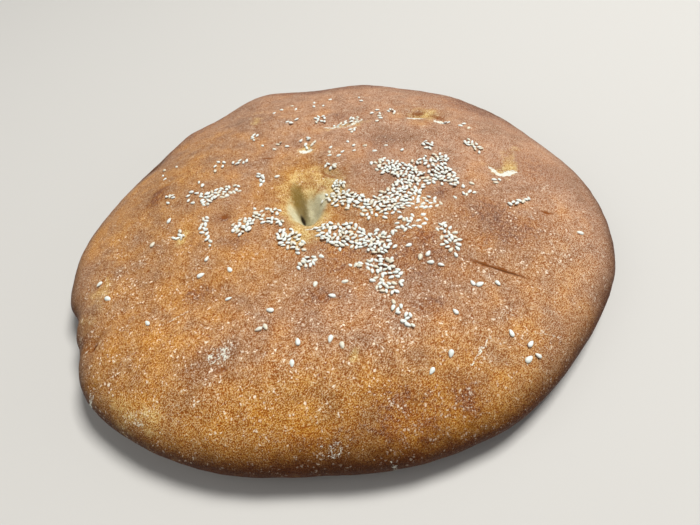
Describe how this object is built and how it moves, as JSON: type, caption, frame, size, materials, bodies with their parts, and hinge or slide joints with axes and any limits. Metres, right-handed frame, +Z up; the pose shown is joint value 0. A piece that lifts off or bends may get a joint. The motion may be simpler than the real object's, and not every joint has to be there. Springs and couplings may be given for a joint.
{
  "type": "sesame flatbread",
  "caption": "Round leavened flatbread with a low golden-brown dome, a deep finger dimple near the middle, a pinched fold on its left edge and sesame seeds strewn over the crust.",
  "frame": {"origin": "middle of the flat base on the table, under the middle of the loaf's length and width", "axes": "+Z up out of the crust, +Y towards the back edge of the loaf as pictured, +X to the right, the pinched fold on the -X side"},
  "size_m": [0.288, 0.2822, 0.0425],
  "materials": {
    "crust": "matte, golden brown, browned in patches",
    "sesame": "satin, ivory"
  },
  "bodies": {
    "root": {"flatbread": "crust"}
  },
  "joints": []
}
